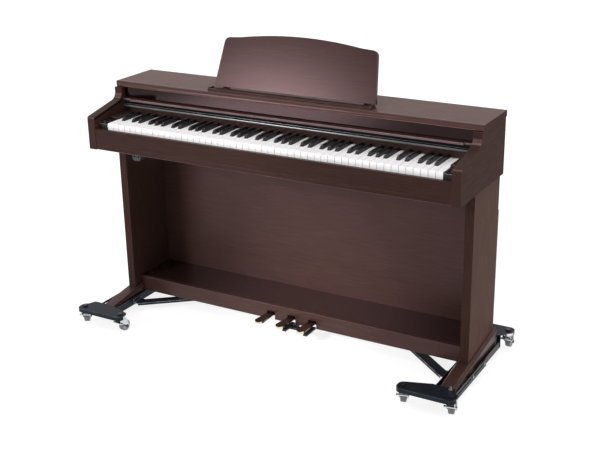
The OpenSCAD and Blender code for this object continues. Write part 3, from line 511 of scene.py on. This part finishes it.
rosewood_upright = rosewood("rosewood_upright", "z", tone=0.9, roughness=(0.36, 0.46), gloss=0.05)
# The outer faces of the legs get a copy of the laminate at more than twice the tone: painted light,
# while the inner and front faces stay darker.
rosewood_outer_painted_light = rosewood("rosewood_outer_painted_light", "z", tone=2.0, roughness=(0.47, 0.57), gloss=0.03)
rosewood_foot = rosewood("rosewood_foot", "y")
leg_panels = eased("legs", "leg_panels", rosewood_upright, radius=0.0012)
second_finish(leg_panels, rosewood_outer_painted_light, on_outer_face)
eased("feet", "foot_blocks", rosewood_foot, radius=0.0018)

# ---------------------------------------------------------------------------------------------
# Stand boards. A thin back board screwed to the legs, and the box of two boards that holds the
# pedals; the same laminate laid lengthwise, drawn up to the legs by four cam fittings.
rosewood_lengthwise = rosewood("rosewood_lengthwise", "x", tone=0.88)
# The top of the pedal box gets a darker copy of the laminate: painted shade under the cabinet.
rosewood_low_painted_shade = rosewood("rosewood_low_painted_shade", "x", tone=0.45, roughness=(0.20, 0.30), gloss=0.6)
dull_zinc = metal("dull_zinc", (0.42, 0.41, 0.40), roughness=(0.30, 0.46))
eased("back_board", "back_board_panel", rosewood_lengthwise, radius=0.0008)
eased("pedal_front_board", "pedal_board_face", rosewood_lengthwise, radius=0.0012)
eased("pedal_top_board", "pedal_board_top", rosewood_low_painted_shade, radius=0.0010)
eased("screws", "screw_heads", dull_zinc, radius=0.0004)

# ---------------------------------------------------------------------------------------------
# Pedals. Three levers on one shaft under a steel frame, each broadening into a brass plate whose
# rounded rim is polished brass, while its flat faces are painted a near-black brass: painted shade
# that stands for the dark reflections in the brass.


def on_flat_face(place, normal):
    """The top, the underside and the flanks of a pedal."""
    return abs(normal.z) > 0.9 or abs(normal.x) > 0.8


brushed = (1.0, 0.15, 1.0)
frame_coat = powder_coat("frame_powder_coat", (0.010, 0.010, 0.011), roughness=(0.45, 0.60))
polished_brass = metal(
    "polished_brass", (0.84, 0.74, 0.46), roughness=(0.08, 0.16), streak=brushed, dulling=0.85,
)
# The flat faces of the pedals get a near-black brass: painted shade for the dark reflections in the
# brass.
brass_painted_shade = metal(
    "brass_painted_shade", (0.10, 0.075, 0.05), roughness=(0.16, 0.26), streak=brushed, dulling=0.8,
)
eased("pedal_frame", "pedal_frame_coated", frame_coat, radius=0.0006)
for node in ("soft_pedal", "sostenuto_pedal", "sustain_pedal"):
    plate = eased(
        node, node + "_plated", polished_brass, radius=0.0014, body=node, steps=3,
    )
    second_finish(plate, brass_painted_shade, on_flat_face)

# ---------------------------------------------------------------------------------------------
# Cabinet shell. Side panels with sloping arms, the bottom board, the back, the top board with a
# moulding along its edge, the fascia and the rail behind the keys; laminate on chipboard, which
# is screwed from inside, with a glossier lacquer on the fascia and the moulding.


def on_arm(place, normal):
    """The edges of a side panel, all but the one at the back."""
    return abs(normal.x) < 0.3 and normal.y < 0.3


def on_arm_hollow(place, normal):
    """The hollow where the arm of a side panel rises to the top board."""
    return normal.y < -0.5 and 0.1 < normal.z < 0.8


def on_lower_round(place, normal):
    """The lower round of a board's front edge, without its ends."""
    return normal.z < -0.2 and normal.y < -0.2 and abs(normal.x) < 0.1


def on_end(place, normal):
    """The left and right ends of the top board and its moulding."""
    return normal.x * place.x > 0.5


rosewood_side = rosewood("rosewood_side", "y", tone=1.2, roughness=(0.45, 0.55), gloss=0.015)
rosewood_arm = rosewood("rosewood_arm", "y", tone=0.8, roughness=(0.30, 0.40), gloss=0.10)
rosewood_hollow = rosewood("rosewood_hollow", "x", tone=1.2, roughness=(0.16, 0.24), gloss=0.8)
# The top board gets a copy of the laminate more than twice as light: painted light, the bright room
# seen at a grazing angle.
rosewood_top_painted_light = rosewood("rosewood_top_painted_light", "x", tone=2.2, roughness=(0.26, 0.36), gloss=0.10)
rosewood_slip = rosewood("rosewood_slip", "x", tone=0.75, gloss=0.08)
# The fascia gets a copy at a tenth of the tone: painted shade under the overhang of the top board;
# its gloss is real.
rosewood_fascia_painted_shade = rosewood("rosewood_fascia_painted_shade", "x", tone=0.10, roughness=(0.04, 0.08), gloss=0.24)
rosewood_edge = rosewood("rosewood_edge", "x", tone=1.2, roughness=(0.07, 0.12), gloss=0.4)
# A copy five times lighter for the lower round of the moulding: a painted highlight, the reflection
# of the white keys.
lacquer_painted_highlight = rosewood("lacquer_painted_highlight", "x", tone=5.0, roughness=(0.2, 0.3), gloss=0.5)
# A darker copy for the rail behind the keys and the raised backs of the end blocks: painted shade.
rosewood_painted_shade = rosewood("rosewood_painted_shade", "x", tone=0.6)

for node, name in (("side_panel_left", "side_panel_bass"), ("side_panel_right", "side_panel_treble")):
    side_panel = eased(node, name, rosewood_side, radius=0.0012)
    second_finish(side_panel, rosewood_arm, on_arm)
    second_finish(side_panel, rosewood_hollow, on_arm_hollow)
top_panel = eased("top_board", "top_panel", rosewood_top_painted_light, radius=0.0012)
second_finish(top_panel, rosewood_side, on_end)
eased("key_slip", "key_slip_board", rosewood_slip, radius=0.0015)
bottom_panel = eased("key_bed", "bottom_panel", rosewood_slip, radius=0.0008)
# Painted highlight on the lower round of the bottom board's front edge, taking the light copy of the
# top board.
second_finish(bottom_panel, rosewood_top_painted_light, on_lower_round)
eased("cabinet_back", "rear_panel", rosewood_lengthwise, radius=0.0008)
eased("fascia_board", "fascia_panel", rosewood_fascia_painted_shade, radius=0.0008)
top_edge = eased("top_moulding", "top_edge_strip", rosewood_edge, radius=0.0006)
# Painted highlight on the lower round of the moulding.
second_finish(top_edge, lacquer_painted_highlight, on_lower_round)
second_finish(top_edge, rosewood_side, on_end)
# Painted shade on the rail behind the keys.
eased("key_rail", "rail_behind_keys", rosewood_painted_shade, radius=0.0006)

# ---------------------------------------------------------------------------------------------
# Sound and power. Two speakers that sound through round openings in the bottom board behind wire
# grilles, green circuit boards, the headphone box and the mains inlet; moulded black plastic.
black_plastic = moulded_plastic("black_plastic", (0.012, 0.012, 0.013), roughness=(0.38, 0.55))
for node in ("headphone_box", "power_inlet", "speakers"):
    eased(node, node + "_moulded", black_plastic, radius=0.0006)


def solder_resist(name, dark, clear, roughness):
    """The lacquer on a circuit board, uneven over the weave of the board."""
    made = Recipe(name)
    weave = made.noise(made.place(), scale=260.0, detail=2.0, roughness=0.7)
    made.colour(made.ramp(weave, [(0.35, dark), (0.7, clear)]))
    made.roughness(weave, *roughness)
    made.bump(weave, strength=0.2, distance=0.0002)
    return made.material


board_resist = solder_resist(
    "board_resist", (0.006, 0.050, 0.020), clear=(0.015, 0.110, 0.045), roughness=(0.30, 0.45),
)
eased("circuit_boards", "circuit_boards_etched", board_resist, radius=0.0003)

ring_count = 6
grille = Growth("speaker_grille", rings=ring_count, pitch=0.0085, wire=0.0009, spokes=6)
rings, spoke_count = grille.start["rings"], grille.start["spokes"]
pitch, wire = grille.start["pitch"], grille.start["wire"]
line_index = grille.add("GeometryNodeInputIndex")
ring_line = grille.add("GeometryNodeMeshLine", {"Count": rings, "Offset": (0, 0, 0)})
ring_radius = grille.reckon("MULTIPLY", grille.reckon("ADD", line_index, 1.0), pitch)
ring_curve = grille.add("GeometryNodeCurvePrimitiveCircle", {"Resolution": 40, "Radius": 1.0})
ring_set = grille.on_points(ring_line, ring_curve, Scale=ring_radius)
spoke_end = grille.add("ShaderNodeCombineXYZ", {0: grille.reckon("MULTIPLY", rings, pitch)})
spoke = grille.add("GeometryNodeCurvePrimitiveLine", {"Start": (0, 0, 0), "End": spoke_end})
spoke_line = grille.add("GeometryNodeMeshLine", {"Count": spoke_count, "Offset": (0, 0, 0)})
spoke_share = grille.reckon("DIVIDE", line_index, spoke_count)
spoke_angle = grille.reckon("MULTIPLY", spoke_share, 2 * math.pi)
spoke_turn = grille.add("ShaderNodeCombineXYZ", {2: spoke_angle})
spoke_set = grille.on_points(spoke_line, spoke, Rotation=spoke_turn)
wires = grille.add("GeometryNodeRealizeInstances", {0: grille.joined(ring_set, spoke_set)})
wire_round = grille.add("GeometryNodeCurvePrimitiveCircle", {"Resolution": 8, "Radius": wire})
capped = True
wire_mesh = grille.add("GeometryNodeCurveToMesh", {0: wires, 1: wire_round, 2: capped})
grille.finish(grille.on_points(grille.start["Geometry"], wire_mesh), black_plastic)

speaker_low, speaker_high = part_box("speakers")
bed_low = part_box("key_bed")[0]
opening_reach = 0.055
wire_clearance = 0.0006
grille_lift = 0.004
opening_x = speaker_high.x - (speaker_high.y - speaker_low.y) / 2
opening_y = (speaker_low.y + speaker_high.y) / 2
grille.grow(
    "speaker_grilles",
    [(side * opening_x, opening_y, bed_low.z + grille_lift) for side in (-1, 1)],
    "piano", "black_plastic", pitch=(opening_reach - wire_clearance) / ring_count,
)

# ---------------------------------------------------------------------------------------------
# Keys. Moulded key tops on a steel chassis with one pivot rod: glossy white naturals with duller
# sides painted mid grey, painted shade in the gaps between the keys, and satin black sharps.


def key_plastic(name, colour, shade, roughness, coat):
    """Moulded key plastic, a little different from key to key, with fine wear on top."""
    made = Recipe(name)
    keys_to_a_metre = 42.6
    tone = made.noise(made.place((keys_to_a_metre, 0.4, 0.4)), scale=1.0, detail=0.0)
    wear = made.noise(made.place((1.0, 0.5, 1.0)), scale=260.0, detail=2.0, roughness=0.6)
    made.colour(made.ramp(tone, [(0.35, shade), (0.65, colour)]))
    made.roughness(wear, *roughness)
    made.bump(wear, strength=0.05, distance=0.0001)
    made.set(Coat_Weight=coat, Coat_Roughness=0.1)
    return made.material


def on_key_side(place, normal):
    """The sides of a key, which face the keys beside it."""
    return abs(normal.x) > 0.95


natural_plastic = key_plastic(
    "natural_key_plastic", (0.94, 0.935, 0.935), shade=(0.92, 0.915, 0.915),
    roughness=(0.24, 0.30), coat=0.3,
)
sharp_plastic = key_plastic(
    "sharp_key_plastic", (0.004, 0.004, 0.005), shade=(0.003, 0.003, 0.004),
    roughness=(0.24, 0.34), coat=0.0,
)
# The sides of the white keys are painted mid grey: painted shade in the gaps between the keys.
key_sides_painted_shade = key_plastic(
    "key_side_painted_shade", (0.42, 0.41, 0.41), shade=(0.36, 0.35, 0.35),
    roughness=(0.5, 0.6), coat=0.0,
)
for node in ("white_keys", "key_c", "key_d"):
    body = "piano" if node == "white_keys" else node
    naturals = eased(
        node, node + "_moulded", natural_plastic, radius=0.00035, body=body,
    )
    second_finish(naturals, key_sides_painted_shade, on_key_side)
for node in ("black_keys", "key_c_sharp", "key_d_sharp"):
    body = "piano" if node == "black_keys" else node
    eased(node, node + "_moulded", sharp_plastic, radius=0.0008, body=body)
eased("key_frame", "key_chassis", frame_coat, radius=0.0005)

# ---------------------------------------------------------------------------------------------
# Control strip and end blocks. The glossy black strip over the keys has a ledge painted grey, a
# painted reflection of the white keys. The blocks beside the last keys are low and black in front,
# with a raised back in a darker laminate, painted shade, and take the power button at the treble
# end and the volume slider at the bass end.


def gloss_black(name, tone, roughness, gloss=0.5):
    """Glossy black plastic with faint wipe marks and grey rubbed edges, partly wear and partly a
    painted highlight.
    """
    made = Recipe(name)
    smear = made.noise(made.place((1.0, 3.0, 3.0)), scale=22.0, roughness=0.6)
    smear_low = (tone, tone, 1.1 * tone)
    smear_high = tint((tone, tone, tone), 2.2)
    grey = made.ramp(smear, [(0.3, smear_low), (0.8, smear_high)])
    # The edges are mixed towards pale grey: wear and a painted highlight.
    made.colour(made.mix(made.rubbed_and_highlit_edges(), grey, (0.16, 0.16, 0.165)))
    made.roughness(smear, *roughness)
    made.set(Specular_IOR_Level=gloss)
    return made.material


def on_ledge(place, normal):
    """The sloping ledge of the control strip."""
    return 0.12 < normal.z < 0.72


def on_block_front(place, normal):
    """The upright front faces of an end block."""
    return normal.y < -0.9


def on_raised_back(place, normal):
    """The part of an end block that stands as high as the keys or higher."""
    return place.z > key_tops - key_tops_margin


key_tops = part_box("white_keys")[1].z
key_tops_margin = 0.001
strip_black = gloss_black("strip_black", 0.003, roughness=(0.10, 0.20), gloss=0.06)
# The ledge is painted grey: a painted reflection of the white keys in the black plastic.
ledge_painted_reflection = gloss_black("ledge_painted_reflection", 0.050, roughness=(0.15, 0.25))
block_black = gloss_black("block_black", 0.006, roughness=(0.10, 0.20), gloss=0.3)
block_grey = gloss_black("block_grey", 0.012, roughness=(0.35, 0.50), gloss=0.2)
control_strip = eased("panel_strip", "control_strip", strip_black, radius=0.0007)
second_finish(control_strip, ledge_painted_reflection, on_ledge)
end_blocks = eased("key_blocks", "end_blocks", block_black, radius=0.0010)
second_finish(end_blocks, block_grey, on_block_front)
# Painted shade on the raised backs of the end blocks.
second_finish(end_blocks, rosewood_painted_shade, on_raised_back)
eased(
    "power_button", "power_button_cap", dark_zinc, radius=0.0006, body="power_button",
)
eased(
    "volume_slider", "volume_slider_knob", black_plastic,
    radius=0.0006, body="volume_slider",
)

# ---------------------------------------------------------------------------------------------
# Key cover. A thin laminated board that rests inside the cabinet and slides out over the keys,
# with a moulded lip along its front edge painted a pale pinkish grey: a painted reflection of the
# room.


def on_front_edge(place, normal):
    """The front edge of the key cover."""
    return normal.y < -0.5


# The lip is painted a pale pinkish grey: a painted reflection of the bright room.
cover_lip_painted_reflection = moulded_plastic("cover_lip_painted_reflection", (0.200, 0.122, 0.138), roughness=(0.20, 0.30))
cover_board = eased(
    "key_cover", "key_cover_board", rosewood_edge, radius=0.0008, body="key_cover",
)
second_finish(cover_board, cover_lip_painted_reflection, on_front_edge)

# ---------------------------------------------------------------------------------------------
# Music rest. A laminated board with an arched top that leans on a bent steel prop, pivots in two
# black hinges and stands behind a grooved ledge.
rosewood_rest = rosewood("rosewood_rest", "x", tone=0.6, roughness=(0.20, 0.27), gloss=0.19)
# The ledge's edges are made nine times lighter: painted highlights along its grooves.
rosewood_ledge = rosewood(
    "rosewood_ledge", "x", tone=0.9, roughness=(0.26, 0.36), gloss=0.2, edge_wear_and_highlight=9.0,
)
eased(
    "music_rest", "music_rest_board", rosewood_rest,
    radius=0.0016, body="music_rest",
)
eased("rest_ledge", "rest_ledge_strip", rosewood_ledge, radius=0.0006)
eased("rest_hinges", "rest_hinge_blocks", black_plastic, radius=0.0004)
eased("rest_prop", "rest_prop_wire", bright_zinc, radius=0.0002, body="rest_prop")
